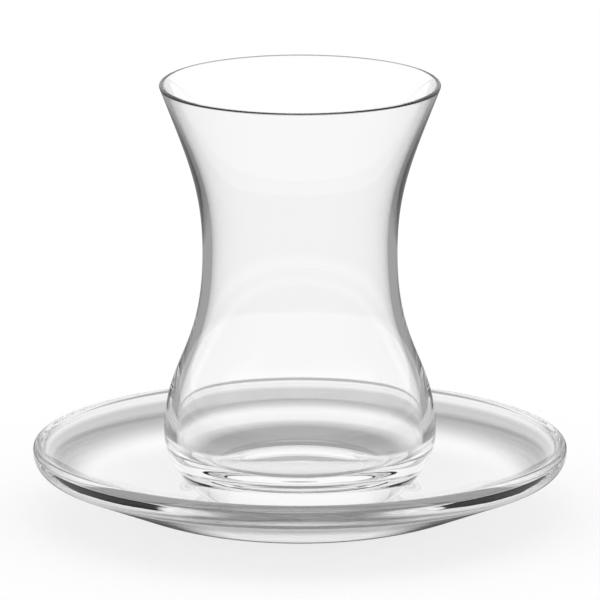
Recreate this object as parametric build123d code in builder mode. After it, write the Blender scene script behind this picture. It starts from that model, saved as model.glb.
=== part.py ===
"""A waisted clear tea glass standing on its clear pressed saucer, in millimetres.

Both pieces are turned shapes about the Z axis. The origin is the middle of the saucer's
foot, on the table, and +Z is up.
"""

from build123d import *
import math
import os

os.makedirs("parts", exist_ok=True)

# ---- Saucer: driving sizes ----
saucer_radius = 55.0  # to the outside of the rim
saucer_height = 15.3  # table to the top of the rim bead
bead_radius = 1.25  # the rim is a round bead
bead_drop = 0.5  # the bowl's inside ends this far below the middle of the bead
rim_turn_radius = 4.2  # rounding under the rim, where the underside turns up
rim_upright = 0.3  # short upright between that rounding and the bead
foot_radius = 18.5  # outer edge of the flat foot ring
foot_turn_radius = 50.0  # rounding between the foot and the cone under the saucer
foot_recess_radius = 14.0  # inner edge of the foot ring
foot_recess = 0.5  # height of the hollow inside the foot ring
foot_edge = 0.3  # rounding of the hollow's edges
saucer_wall = 2.0  # thickness of the cone
well_floor = 4.0  # table to the floor of the well
well_radius = 24.0  # flat part of the well
rim_curve_radius = 40.0  # the bowl's inside steepens towards the rim

# ---- Tea glass: driving sizes, heights above its own base ----
glass_height = 86.8
rim_radius = 28.9  # to the outside of the lip
rim_wall = 0.9
rim_flare = 21.2  # degrees the wall leans out at the lip
waist_radius = 20.05
waist_height = 51.3
waist_wall = 1.9
belly_radius = 28.0
belly_height = 13.6
belly_wall = 2.5
base_radius = 18.5  # outer edge of the ring that the glass stands on
base_recess_radius = 15.0  # inner edge of that ring
base_recess = 0.8  # rise of the dished underside
glass_floor = 7.0  # base to the middle of the inner floor
inner_floor_radius = 17.0  # flat part of the inner floor

# How far each curve runs straight on before it bends, as handle lengths
rim_pull = 16.1
waist_pull_up = 13.2
waist_pull_down = 21.1
belly_pull_up = 15.2
belly_pull_down = 6.2
base_pull = 2.6
inner_belly_pull_down = 3.6
inner_floor_pull = 4.7

# ---- Saucer ----
# The cone under the saucer is the line that touches both roundings, at the foot and at the rim
bead_height = saucer_height - bead_radius
bead_inside = saucer_radius - 2 * bead_radius
turn_centre = (saucer_radius - rim_turn_radius, bead_height - rim_upright)
turn_reach = (turn_centre[0] - foot_radius, turn_centre[1] - foot_turn_radius)
underside_slope = math.atan2(turn_reach[1], turn_reach[0]) + math.asin(
    (foot_turn_radius - rim_turn_radius) / math.hypot(turn_reach[0], turn_reach[1])
)
cone_start = (
    foot_radius + foot_turn_radius * math.sin(underside_slope),
    foot_turn_radius * (1 - math.cos(underside_slope)),
)
cone_end = (
    turn_centre[0] + rim_turn_radius * math.sin(underside_slope),
    turn_centre[1] - rim_turn_radius * math.cos(underside_slope),
)

# Inside, the wall is an even thickness above that cone. It rounds down into the level well,
# and near the rim it turns up into the bead
along = (math.cos(underside_slope), math.sin(underside_slope))
above = (-along[1], along[0])
inner_cone = (cone_end[0] + saucer_wall * above[0], cone_end[1] + saucer_wall * above[1])
well_corner = inner_cone[0] - (inner_cone[1] - well_floor) / math.tan(underside_slope)
bowl_start = (
    well_corner + (well_corner - well_radius) * along[0],
    well_floor + (well_corner - well_radius) * along[1],
)
bowl_end = (bead_inside, bead_height - bead_drop)
end_offset = (bowl_end[0] - inner_cone[0], bowl_end[1] - inner_cone[1])
end_height = end_offset[0] * above[0] + end_offset[1] * above[1]
curve_length = math.sqrt(2 * end_height * rim_curve_radius - end_height**2)
curve_start = (
    bowl_end[0] - curve_length * along[0] - end_height * above[0],
    bowl_end[1] - curve_length * along[1] - end_height * above[1],
)

with BuildPart() as saucer:
    with BuildSketch(Plane.XZ):
        with BuildLine():
            foot = FilletPolyline(
                (0, foot_recess),
                (foot_recess_radius - foot_recess, foot_recess),
                (foot_recess_radius, 0),
                (foot_radius, 0),
                radius=[foot_edge, foot_edge],
            )
            foot_turn = TangentArc(foot @ 1, cone_start, tangent=foot % 1)
            cone = Line(foot_turn @ 1, cone_end)
            rim_turn = TangentArc(cone @ 1, (saucer_radius, turn_centre[1]), tangent=cone % 1)
            upright = Line(rim_turn @ 1, (saucer_radius, bead_height))
            bead = ThreePointArc(
                upright @ 1,
                (saucer_radius - bead_radius, saucer_height),
                (bead_inside, bead_height),
            )
            Line(bead @ 1, bowl_end)
            well_turn = TangentArc((well_radius, well_floor), bowl_start, tangent=(1, 0))
            bowl = Line(well_turn @ 1, curve_start)
            TangentArc(bowl @ 1, bowl_end, tangent=bowl % 1)
            well = Line(well_turn @ 0, (0, well_floor))
            Line(well @ 1, foot @ 0)
        make_face()
    revolve(axis=Axis.Z)
saucer.part.label = "saucer"
export_step(saucer.part, "parts/saucer.step")

# ---- Tea glass ----
base = well_floor  # the glass stands face to face on the well
waist = base + waist_height
belly = base + belly_height
lip_radius = rim_wall / 2
lip_centre = (rim_radius - lip_radius, base + glass_height - lip_radius)
lean = (math.sin(math.radians(rim_flare)), math.cos(math.radians(rim_flare)))
lip_outside = (lip_centre[0] + lip_radius * lean[1], lip_centre[1] - lip_radius * lean[0])
lip_inside = (lip_centre[0] - lip_radius * lean[1], lip_centre[1] + lip_radius * lean[0])
lip_top = (lip_centre[0] + lip_radius * lean[0], lip_centre[1] + lip_radius * lean[1])
waist_inside = waist_radius - waist_wall
belly_inside = belly_radius - belly_wall

with BuildPart() as tea_glass:
    with BuildSketch(Plane.XZ):
        with BuildLine():
            dish = ThreePointArc(
                (0, base + base_recess),
                (base_recess_radius / 2, base + base_recess * 3 / 4),
                (base_recess_radius, base),
            )
            ring = Line(dish @ 1, (base_radius, base))
            lower_body = Bezier(
                ring @ 1,
                (base_radius + base_pull, base),
                (belly_radius, belly - belly_pull_down),
                (belly_radius, belly),
            )
            body = Bezier(
                lower_body @ 1,
                (belly_radius, belly + belly_pull_up),
                (waist_radius, waist - waist_pull_down),
                (waist_radius, waist),
            )
            mouth = Bezier(
                body @ 1,
                (waist_radius, waist + waist_pull_up),
                (lip_outside[0] - rim_pull * lean[0], lip_outside[1] - rim_pull * lean[1]),
                lip_outside,
            )
            lip = ThreePointArc(mouth @ 1, lip_top, lip_inside)
            inner_mouth = Bezier(
                lip @ 1,
                (lip_inside[0] - rim_pull * lean[0], lip_inside[1] - rim_pull * lean[1]),
                (waist_inside, waist + waist_pull_up),
                (waist_inside, waist),
            )
            inner_body = Bezier(
                inner_mouth @ 1,
                (waist_inside, waist - waist_pull_down),
                (belly_inside, belly + belly_pull_up),
                (belly_inside, belly),
            )
            inner_lower = Bezier(
                inner_body @ 1,
                (belly_inside, belly - inner_belly_pull_down),
                (inner_floor_radius + inner_floor_pull, base + glass_floor),
                (inner_floor_radius, base + glass_floor),
            )
            inner_floor = Line(inner_lower @ 1, (0, base + glass_floor))
            Line(inner_floor @ 1, dish @ 0)
        make_face()
    revolve(axis=Axis.Z)
tea_glass.part.label = "tea_glass"
export_step(tea_glass.part, "parts/tea_glass.step")
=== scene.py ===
import math
import bpy
import numpy as np
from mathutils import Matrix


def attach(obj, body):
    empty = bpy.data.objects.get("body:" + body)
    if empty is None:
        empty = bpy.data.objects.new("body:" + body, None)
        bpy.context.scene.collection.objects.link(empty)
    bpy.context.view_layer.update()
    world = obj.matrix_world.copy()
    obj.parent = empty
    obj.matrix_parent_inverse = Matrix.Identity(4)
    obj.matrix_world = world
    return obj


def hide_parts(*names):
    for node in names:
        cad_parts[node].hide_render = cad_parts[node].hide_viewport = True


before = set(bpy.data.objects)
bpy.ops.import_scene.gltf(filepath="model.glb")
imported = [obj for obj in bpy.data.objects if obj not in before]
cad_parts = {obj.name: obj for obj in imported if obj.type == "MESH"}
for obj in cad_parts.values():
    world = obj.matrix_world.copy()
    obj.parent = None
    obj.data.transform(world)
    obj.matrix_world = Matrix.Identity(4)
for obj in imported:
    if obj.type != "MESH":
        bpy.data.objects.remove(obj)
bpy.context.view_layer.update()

# ---- The saucer ----
# A shallow round dish of clear soda-lime glass, pressed in a mould and fire-polished, so
# that every edge is rounded. Its rim is a round bead, and it stands on a flat foot ring.
SAUCER_RADIUS = 0.055
SAUCER_HEIGHT = 0.0153
BEAD_RADIUS = 0.00125
BEAD_DROP = 0.0005
RIM_TURN_RADIUS = 0.0042
RIM_UPRIGHT = 0.0003
FOOT_RADIUS = 0.0185
FOOT_TURN_RADIUS = 0.05
FOOT_RECESS_RADIUS = 0.014
FOOT_RECESS = 0.0005
FOOT_EDGE = 0.0003
WELL_FLOOR = 0.004
WELL_RADIUS = 0.024
SAUCER_WALL = 0.002
RIM_CURVE_RADIUS = 0.04
SAUCER_MESH_STEP = 0.0007  # between points along the section
SAUCER_SIDES = 360
SAME_POINT = 1e-7  # points nearer than this are one point
FOOT_EDGE_STEPS = 6  # points on each arc of the section
FOOT_TURN_STEPS = 40
RIM_TURN_STEPS = 24
BEAD_STEPS = 40
RIM_CURVE_STEPS = 30
WELL_TURN_STEPS = 40
GLASS_IOR = 1.52
BUMP_DISTANCE = 0.001  # the surface group's heights are in millimetres
SAUCER_SURFACE = {"Rings Per Metre": 700.0, "Ring Depth": 0.004, "Waves Per Metre": 40.0,
                  "Flow Depth": 0.02, "Polish": 0.0, "Haze": 0.012}
SAUCER_CLEAR, SAUCER_FLOW = (1.0, 1.0, 1.0, 1), (0.984, 0.988, 0.986, 1)
GLANCE_START, GLANCE_FULL = 0.87, 0.95  # painted shade: seen edge-on, the glass's colour is darkened, for the dark edges of clear glass
PAINTED_EDGE_SHADE = (0.1, 0.102, 0.101, 1)
RIM_SHADE_IN = (0.043, 0.050)  # painted shade: the glass's colour darkens over these radii near the rim, for the dark bands seen there
RIM_SHADE_OUT = (0.0515, 0.0530)  # and clears again over these, at the bead
RIM_PAINTED_SHADE = (0.36, 0.36, 0.36, 1)


def arc(centre, radius, first, last, steps):
    """Points on a circle: centre + radius (cos a, sin a), with a from first to last."""
    a = np.linspace(first, last, steps)
    return np.stack([centre[0] + radius * np.cos(a), centre[1] + radius * np.sin(a)], -1)


def rounded(corners, radii, steps):
    """A run of straight lines whose inner corners are arcs. At each corner the arc touches both
    lines, radius / tan(half the corner's angle) away from it."""
    corners = np.array(corners, float)
    points = [corners[:1]]
    for before, corner, after, radius in zip(corners, corners[1:], corners[2:], radii):
        back = (before - corner) / np.linalg.norm(before - corner)
        on = (after - corner) / np.linalg.norm(after - corner)
        half = math.acos(float(np.clip(back @ on, -1, 1))) / 2
        middle = (back + on) / np.linalg.norm(back + on)
        centre = corner + middle * radius / math.sin(half)
        start = corner + back * radius / math.tan(half) - centre
        end = corner + on * radius / math.tan(half) - centre
        first = math.atan2(start[1], start[0])
        turn = math.atan2(start[0] * end[1] - start[1] * end[0], float(start @ end))
        points.append(arc(centre, radius, first, first + turn, steps))
    points.append(corners[-1:])
    return np.concatenate(points)


def spread(points, spacing):
    """The same line with a point at least every spacing along its length."""
    gaps = np.linalg.norm(np.diff(points, axis=0), axis=1)
    apart = gaps > SAME_POINT
    points, gaps = points[np.concatenate([[True], apart])], gaps[apart]
    parts = [np.linspace(a, b, max(1, math.ceil(g / spacing)), endpoint=False)
             for a, b, g in zip(points, points[1:], gaps)]
    return np.concatenate(parts + [points[-1:]])


def turned(name, profile, sides, ripple):
    """A line of (radius, height) points, from the axis at the bottom to the axis at the top,
    carried round Z: x = r cos(a), y = r sin(a). ripple(a, r, z) is added to the radius."""
    a = np.linspace(0, 2 * np.pi, sides, endpoint=False)[None, :]
    r, z = profile[1:-1, 0][:, None], profile[1:-1, 1][:, None]
    swell = r + ripple(a, r, z)
    ring = np.stack([swell * np.cos(a), swell * np.sin(a), z + 0 * a], -1).reshape(-1, 3)
    ends = np.array([[0, 0, profile[0, 1]], [0, 0, profile[-1, 1]]])
    rows = len(profile) - 2
    i, j = np.meshgrid(np.arange(rows - 1), np.arange(sides), indexing="ij")
    k = (j + 1) % sides
    quads = np.stack([i * sides + j, i * sides + k, (i + 1) * sides + k, (i + 1) * sides + j], -1)
    around = np.arange(sides)
    beside = (around + 1) % sides
    low, high = rows * sides, rows * sides + 1
    last = (rows - 1) * sides
    fans = np.concatenate([
        np.stack([np.full(sides, low), beside, around], -1),
        np.stack([np.full(sides, high), last + around, last + beside], -1),
    ])
    mesh = bpy.data.meshes.new(name)
    mesh.from_pydata(np.concatenate([ring, ends]).tolist(), [],
                     quads.reshape(-1, 4).tolist() + fans.tolist())
    mesh.polygons.foreach_set("use_smooth", [True] * len(mesh.polygons))
    mesh.validate()
    piece = bpy.data.objects.new(name, mesh)
    bpy.context.collection.objects.link(piece)
    return piece


bead_height = SAUCER_HEIGHT - BEAD_RADIUS
bead = np.array([SAUCER_RADIUS - BEAD_RADIUS, bead_height])
rim_turn = np.array([SAUCER_RADIUS - RIM_TURN_RADIUS, bead_height - RIM_UPRIGHT])
foot_turn = np.array([FOOT_RADIUS, FOOT_TURN_RADIUS])
reach = rim_turn - foot_turn
underside = math.atan2(reach[1], reach[0]) + math.asin(
    (FOOT_TURN_RADIUS - RIM_TURN_RADIUS) / math.hypot(*reach))
along = np.array([math.cos(underside), math.sin(underside)])
above = np.array([-along[1], along[0]])
inner_cone = rim_turn + (SAUCER_WALL - RIM_TURN_RADIUS) * above
well_corner = inner_cone[0] - (inner_cone[1] - WELL_FLOOR) / math.tan(underside)
well_turn_radius = (well_corner - WELL_RADIUS) / math.tan(underside / 2)
well_turn = np.array([WELL_RADIUS, WELL_FLOOR + well_turn_radius])
bowl_end = bead - np.array([BEAD_RADIUS, BEAD_DROP])
end_height = (bowl_end - inner_cone) @ above
curve_length = math.sqrt(2 * end_height * RIM_CURVE_RADIUS - end_height ** 2)
rim_curve = bowl_end - curve_length * along + (RIM_CURVE_RADIUS - end_height) * above
end_slope = underside + math.asin(curve_length / RIM_CURVE_RADIUS)
down = -math.pi / 2
saucer_line = np.concatenate([
    rounded([(0, FOOT_RECESS), (FOOT_RECESS_RADIUS - FOOT_RECESS, FOOT_RECESS),
             (FOOT_RECESS_RADIUS, 0), (FOOT_RADIUS, 0)], [FOOT_EDGE, FOOT_EDGE],
            FOOT_EDGE_STEPS),
    arc(foot_turn, FOOT_TURN_RADIUS, down, down + underside, FOOT_TURN_STEPS),
    arc(rim_turn, RIM_TURN_RADIUS, down + underside, 0, RIM_TURN_STEPS),
    arc(bead, BEAD_RADIUS, 0, math.pi, BEAD_STEPS),
    arc(rim_curve, RIM_CURVE_RADIUS, down + end_slope, down + underside, RIM_CURVE_STEPS),
    arc(well_turn, well_turn_radius, down + underside, down, WELL_TURN_STEPS),
    [(0, WELL_FLOOR)],
])


def pressed_true(angle, radius, height):
    """A pressed piece is as round as its mould, so nothing is added to its radius."""
    return 0 * angle * radius


saucer = turned("pressed_saucer", spread(saucer_line, SAUCER_MESH_STEP), SAUCER_SIDES,
                pressed_true)


def place(tree, kind, wires=None, **settings):
    """Adds a node to a tree. settings are the node's own, and wires gives each named or
    numbered input its value, or the output that feeds it."""
    node = tree.nodes.new("ShaderNode" + kind)
    for name, value in settings.items():
        setattr(node, name, value)
    for name, value in (wires or {}).items():
        if isinstance(value, bpy.types.NodeSocket):
            tree.links.new(value, node.inputs[name])
        else:
            node.inputs[name].default_value = value
    return node


def remap(tree, value, low, high, at_low, at_high, ease="LINEAR"):
    """at_low where the value is low or less, at_high where it is high or more, even between."""
    return place(tree, "MapRange", {"Value": value, "From Min": low, "From Max": high,
                 "To Min": at_low, "To Max": at_high}, interpolation_type=ease).outputs["Result"]


def glass_surface_group():
    """Node group for the face of formed glass. Rings noise, read at (radius, height), is what
    the mould or the spinning left. Flow noise, read at the point itself, is slow waviness.
    Height = rings x Ring Depth + flow x Flow Depth. Tint and Roughness follow the flow, and
    Radius is the distance from the Z axis."""
    group = bpy.data.node_groups.new("formed_glass_surface", "ShaderNodeTree")
    for name in ("Rings Per Metre", "Ring Depth", "Waves Per Metre", "Flow Depth", "Polish",
                 "Haze"):
        group.interface.new_socket(name, in_out="INPUT", socket_type="NodeSocketFloat")
    for name in ("Height", "Roughness", "Tint", "Radius"):
        group.interface.new_socket(name, in_out="OUTPUT", socket_type="NodeSocketFloat")
    given = group.nodes.new("NodeGroupInput")
    made = group.nodes.new("NodeGroupOutput")
    point = place(group, "TexCoord").outputs["Object"]
    xyz = place(group, "SeparateXYZ", {0: point})
    flat = place(group, "CombineXYZ", {"X": xyz.outputs["X"], "Y": xyz.outputs["Y"]})
    radius = place(group, "VectorMath", {0: flat.outputs[0]}, operation="LENGTH")
    section = place(group, "CombineXYZ", {"X": radius.outputs["Value"], "Z": xyz.outputs["Z"]})
    ring_place = place(group, "VectorMath", {
        0: section.outputs[0], "Scale": given.outputs["Rings Per Metre"]}, operation="SCALE")
    flow_place = place(group, "VectorMath", {
        0: point, "Scale": given.outputs["Waves Per Metre"]}, operation="SCALE")
    drift = place(group, "VectorMath", {
        0: ring_place.outputs[0], 1: flow_place.outputs[0]}, operation="ADD")
    rings = place(group, "TexNoise", {"Vector": drift.outputs[0], "Scale": 1.0, "Detail": 2.0})
    flow = place(group, "TexNoise", {"Vector": flow_place.outputs[0], "Scale": 1.0, "Detail": 1.0})
    ring_height = place(group, "Math", {0: rings.outputs["Fac"], 1: given.outputs["Ring Depth"]},
                        operation="MULTIPLY")
    height = place(group, "Math", {0: flow.outputs["Fac"], 1: given.outputs["Flow Depth"],
                   2: ring_height.outputs[0]}, operation="MULTIPLY_ADD")
    rough = place(group, "Math", {0: flow.outputs["Fac"], 1: given.outputs["Haze"],
                  2: given.outputs["Polish"]}, operation="MULTIPLY_ADD")
    group.links.new(height.outputs[0], made.inputs["Height"])
    group.links.new(rough.outputs[0], made.inputs["Roughness"])
    group.links.new(flow.outputs["Fac"], made.inputs["Tint"])
    group.links.new(radius.outputs["Value"], made.inputs["Radius"])
    return group


def clear_glass(name, surface_values):
    """Clear glass: a Principled shader that lets all light through, with the surface group in
    its roughness and bump. Gives the material and its tree, shader and surface values."""
    material = bpy.data.materials.new(name)
    material.use_nodes = True
    tree = material.node_tree
    shader = tree.nodes["Principled BSDF"]
    shader.inputs["IOR"].default_value = GLASS_IOR
    shader.inputs["Transmission Weight"].default_value = 1.0
    surface = place(tree, "Group")
    surface.node_tree = formed_glass
    for socket, value in surface_values.items():
        surface.inputs[socket].default_value = value
    bump = place(tree, "Bump", {"Height": surface.outputs["Height"], "Distance": BUMP_DISTANCE})
    tree.links.new(bump.outputs["Normal"], shader.inputs["Normal"])
    tree.links.new(surface.outputs["Roughness"], shader.inputs["Roughness"])
    return material, tree, shader, surface.outputs


def blended(tree, share, colour, other):
    """One colour where share is 0, the other where it is 1, even between."""
    return place(tree, "Mix", {"Factor": share, "A": colour, "B": other},
                 data_type="RGBA").outputs["Result"]


def combine(tree, kind, first, second):
    """One number made of two, by a Math node's operation, such as MULTIPLY or GREATER_THAN."""
    return place(tree, "Math", {0: first, 1: second}, operation=kind).outputs[0]


formed_glass = glass_surface_group()
saucer_glass, tree, shader, surface = clear_glass("saucer_glass", SAUCER_SURFACE)
# Painted shade: where the saucer is seen edge-on its colour goes to the edge shade, for the dark
# edges of clear glass.
facing = place(tree, "LayerWeight", {"Blend": 0.5}).outputs["Facing"]
edge_shade_share = remap(tree, facing, GLANCE_START, GLANCE_FULL, 0.0, 1.0, "SMOOTHSTEP")
clear = blended(tree, surface["Tint"], SAUCER_CLEAR, SAUCER_FLOW)
shaded = blended(tree, edge_shade_share, clear, PAINTED_EDGE_SHADE)
# Painted shade: a ring of darker colour near the rim, for the dark band on the far slope and the
# dark strips at the front.
rim_shade = combine(
    tree, "MULTIPLY", remap(tree, surface["Radius"], *RIM_SHADE_IN, 0.0, 1.0, "SMOOTHSTEP"),
    remap(tree, surface["Radius"], *RIM_SHADE_OUT, 1.0, 0.0, "SMOOTHSTEP"))
tree.links.new(blended(tree, rim_shade, shaded, RIM_PAINTED_SHADE), shader.inputs["Base Color"])
saucer.data.materials.append(saucer_glass)
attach(saucer, "root")
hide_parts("saucer")

# ---- The tea glass ----
# Clear soda-lime glass, blown in a mould, with a narrow waist, a thick base and a thin lip
# rounded in the flame. It stands on the saucer's well on a flat ring round a dished base.
GLASS_HEIGHT = 0.0868
RIM_RADIUS = 0.0289
RIM_WALL = 0.0009
RIM_FLARE = math.radians(21.2)
WAIST_RADIUS = 0.02005
WAIST_HEIGHT = 0.0513
WAIST_WALL = 0.0019
BELLY_RADIUS = 0.028
BELLY_HEIGHT = 0.0136
BELLY_WALL = 0.0025
BASE_RADIUS = 0.0185
BASE_RECESS_RADIUS = 0.015
BASE_RECESS = 0.0008
GLASS_FLOOR = 0.007
INNER_FLOOR_RADIUS = 0.017
RIM_PULL = 0.0161
WAIST_PULL_UP = 0.0132
WAIST_PULL_DOWN = 0.0211
BELLY_PULL_UP = 0.0152
BELLY_PULL_DOWN = 0.0062
BASE_PULL = 0.0026
INNER_BELLY_PULL_DOWN = 0.0036
INNER_FLOOR_PULL = 0.0047
STANDING_GAP = 0.00002  # air left under the base, taken off the height
GLASS_MESH_STEP = 0.0009
GLASS_SIDES = 240
DISH_STEPS = 20
LIP_STEPS = 24
WALL_STEPS = 36  # points on each curve of the wall
OUT_OF_ROUND = 0.00004  # blown glass is never quite round
OVAL_TURN = 40.0  # radians per metre of height
GLASS_CLEAR, GLASS_FLOW = (1.0, 1.0, 1.0, 1), (0.99, 0.993, 0.992, 1)
GLASS_SURFACE = {"Rings Per Metre": 90.0, "Ring Depth": 0.004, "Waves Per Metre": 55.0,
                 "Flow Depth": 0.012, "Polish": 0.0, "Haze": 0.008}


def bend(a, b, c, d):
    """Cubic Bezier curve: (1-t)^3 a + 3 (1-t)^2 t b + 3 (1-t) t^2 c + t^3 d, t from 0 to 1."""
    t = np.linspace(0, 1, WALL_STEPS)[:, None]
    a, b, c, d = (np.array(p, float) for p in (a, b, c, d))
    return (1 - t) ** 3 * a + 3 * (1 - t) ** 2 * t * b + 3 * (1 - t) * t ** 2 * c + t ** 3 * d


base = WELL_FLOOR + STANDING_GAP
waist, belly = base + WAIST_HEIGHT, base + BELLY_HEIGHT
waist_inside, belly_inside = WAIST_RADIUS - WAIST_WALL, BELLY_RADIUS - BELLY_WALL
lip_radius = RIM_WALL / 2
lip_centre = np.array([RIM_RADIUS - lip_radius, WELL_FLOOR + GLASS_HEIGHT - lip_radius])
lean = np.array([math.sin(RIM_FLARE), math.cos(RIM_FLARE)])
across = np.array([lean[1], -lean[0]])
lip_outside, lip_inside = lip_centre + lip_radius * across, lip_centre - lip_radius * across
dish_radius = (BASE_RECESS_RADIUS ** 2 + BASE_RECESS ** 2) / (2 * BASE_RECESS)
dish_angle = math.asin(BASE_RECESS_RADIUS / dish_radius)
glass_line = np.concatenate([
    arc((0, base + BASE_RECESS - dish_radius), dish_radius,
        math.pi / 2, math.pi / 2 - dish_angle, DISH_STEPS),
    bend((BASE_RADIUS, base), (BASE_RADIUS + BASE_PULL, base),
         (BELLY_RADIUS, belly - BELLY_PULL_DOWN), (BELLY_RADIUS, belly)),
    bend((BELLY_RADIUS, belly), (BELLY_RADIUS, belly + BELLY_PULL_UP),
         (WAIST_RADIUS, waist - WAIST_PULL_DOWN), (WAIST_RADIUS, waist)),
    bend((WAIST_RADIUS, waist), (WAIST_RADIUS, waist + WAIST_PULL_UP),
         lip_outside - RIM_PULL * lean, lip_outside),
    arc(lip_centre, lip_radius, -RIM_FLARE, math.pi - RIM_FLARE, LIP_STEPS),
    bend(lip_inside, lip_inside - RIM_PULL * lean,
         (waist_inside, waist + WAIST_PULL_UP), (waist_inside, waist)),
    bend((waist_inside, waist), (waist_inside, waist - WAIST_PULL_DOWN),
         (belly_inside, belly + BELLY_PULL_UP), (belly_inside, belly)),
    bend((belly_inside, belly), (belly_inside, belly - INNER_BELLY_PULL_DOWN),
         (INNER_FLOOR_RADIUS + INNER_FLOOR_PULL, base + GLASS_FLOOR),
         (INNER_FLOOR_RADIUS, base + GLASS_FLOOR)),
    [(0, base + GLASS_FLOOR)],
])


def blown_uneven(angle, radius, height):
    """Slightly oval, and the oval turns slowly with height: in by up to OUT_OF_ROUND, as
    (cos(2 angle + OVAL_TURN height) - 1) / 2, and less near the axis."""
    oval = (np.cos(2 * angle + OVAL_TURN * height) - 1) / 2
    return OUT_OF_ROUND * oval * np.minimum(1, radius / BASE_RADIUS)


tea_glass = turned("waisted_tea_glass", spread(glass_line, GLASS_MESH_STEP), GLASS_SIDES,
                   blown_uneven)
body_glass, tree, shader, surface = clear_glass("body_glass", GLASS_SURFACE)
tree.links.new(blended(tree, surface["Tint"], GLASS_CLEAR, GLASS_FLOW), shader.inputs["Base Color"])
tea_glass.data.materials.append(body_glass)
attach(tea_glass, "root")
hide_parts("tea_glass")

# ---- The table ----
# A wide white table under even light. Its colour gives part of its white and its own glow the
# rest, so that it stays white round the object and still takes the object's soft shadow.
TABLE_HALF = 12.0
TABLE_TOP = -0.00005
TABLE_COLOUR = 0.3
TABLE_GLOW = 0.705
# Painted shade: the table is darker in what clear glass bends or mirrors, which gives the glass its
# dark edges
STEEP_FROM, STEEP_TO = 0.50, 0.62  # sine of the angle at which bent light meets the table
STEEP_GLOW = 0.105
FAR_FROM, FAR_TO = 0.085, 0.12  # distance from the middle, for mirrored light
FAR_GLOW = 0.3
UNDER_FROM, UNDER_TO = 0.055, 0.075  # the same, fading out just outside the saucer, outside faces only: a painted shadow under the saucer, seen in what it mirrors
UNDER_STEEP_FROM, UNDER_STEEP_TO = 0.38, 0.46
UNDER_GLOW = 0.03
MIRRORED_COLOUR = 0.05
ONCE = 0.5  # a depth over this is light that bounced that way at least once

table_mesh = bpy.data.meshes.new("table")
table_mesh.from_pydata([(x, y, TABLE_TOP) for x, y in (
    (-TABLE_HALF, -TABLE_HALF), (TABLE_HALF, -TABLE_HALF),
    (TABLE_HALF, TABLE_HALF), (-TABLE_HALF, TABLE_HALF))], [], [(0, 1, 2, 3)])
table = bpy.data.objects.new("table", table_mesh)
bpy.context.collection.objects.link(table)


def either(tree, share, value, other):
    """One number where share is 0, the other where it is 1, even between."""
    return place(tree, "Mix", {"Factor": share, "A": value, "B": other}).outputs["Result"]


table_white = bpy.data.materials.new("table_white")
table_white.use_nodes = True
tree = table_white.node_tree
tree.nodes.remove(tree.nodes["Principled BSDF"])
path = place(tree, "LightPath").outputs
facing = place(tree, "LayerWeight", {"Blend": 0.5}).outputs["Facing"]
steep = combine(tree, "SUBTRACT", 1.0, facing)
out = place(tree, "VectorMath", {0: place(tree, "TexCoord").outputs["Object"]},
            operation="LENGTH").outputs["Value"]
mirrored = combine(tree, "GREATER_THAN", path["Glossy Depth"], ONCE)
never_inside = combine(tree, "LESS_THAN", path["Transmission Depth"], ONCE)
far = combine(tree, "MULTIPLY", mirrored, remap(tree, out, FAR_FROM, FAR_TO, 0.0, 1.0))
under = combine(tree, "MULTIPLY", combine(tree, "MULTIPLY", mirrored, never_inside),
                remap(tree, out, UNDER_FROM, UNDER_TO, 1.0, 0.0))
bent_glow = remap(tree, steep, STEEP_FROM, STEEP_TO, TABLE_GLOW, STEEP_GLOW)
under_glow = remap(tree, steep, UNDER_STEEP_FROM, UNDER_STEEP_TO, UNDER_GLOW, TABLE_GLOW)
glow = either(tree, path["Is Camera Ray"], bent_glow, TABLE_GLOW)
glow = either(tree, under, either(tree, far, glow, FAR_GLOW), under_glow)
colour = either(tree, combine(tree, "MAXIMUM", far, under), TABLE_COLOUR, MIRRORED_COLOUR)
diffuse = place(tree, "BsdfDiffuse", {"Color": colour})
emission = place(tree, "Emission", {"Strength": glow})
both = place(tree, "AddShader", {0: diffuse.outputs[0], 1: emission.outputs[0]})
tree.links.new(both.outputs[0], tree.nodes["Material Output"].inputs["Surface"])
table_mesh.materials.append(table_white)

# ---- The light and the camera ----
# Even white light from all round, and a long lens a little above the rim of the glass.
CAMERA_DISTANCE = 2.4
CAMERA_ELEVATION = math.radians(13.22)
CAMERA_AIM = 0.0453
SENSOR_WIDTH = 36.0
VIEW_WIDTH = 0.12329  # width of the view at the object, in metres
CLIP_START, CLIP_END = 0.1, 100
WORLD_STRENGTH = 1.0

world = bpy.data.worlds.new("studio")
bpy.context.scene.world = world
world.use_nodes = True
world.node_tree.nodes["Background"].inputs["Color"].default_value = (1, 1, 1, 1)
world.node_tree.nodes["Background"].inputs["Strength"].default_value = WORLD_STRENGTH

camera_data = bpy.data.cameras.new("camera")
camera = bpy.data.objects.new("camera", camera_data)
bpy.context.collection.objects.link(camera)
bpy.context.scene.camera = camera
camera.location = (0, -CAMERA_DISTANCE * math.cos(CAMERA_ELEVATION),
                   CAMERA_AIM + CAMERA_DISTANCE * math.sin(CAMERA_ELEVATION))
camera.rotation_euler = (math.pi / 2 - CAMERA_ELEVATION, 0, 0)
camera_data.sensor_width = SENSOR_WIDTH
camera_data.lens = SENSOR_WIDTH * CAMERA_DISTANCE / VIEW_WIDTH
camera_data.clip_start, camera_data.clip_end = CLIP_START, CLIP_END

scene = bpy.context.scene
scene.view_settings.view_transform = "Standard"
scene.cycles.max_bounces = 32
scene.cycles.transmission_bounces = 32
scene.cycles.glossy_bounces = 24
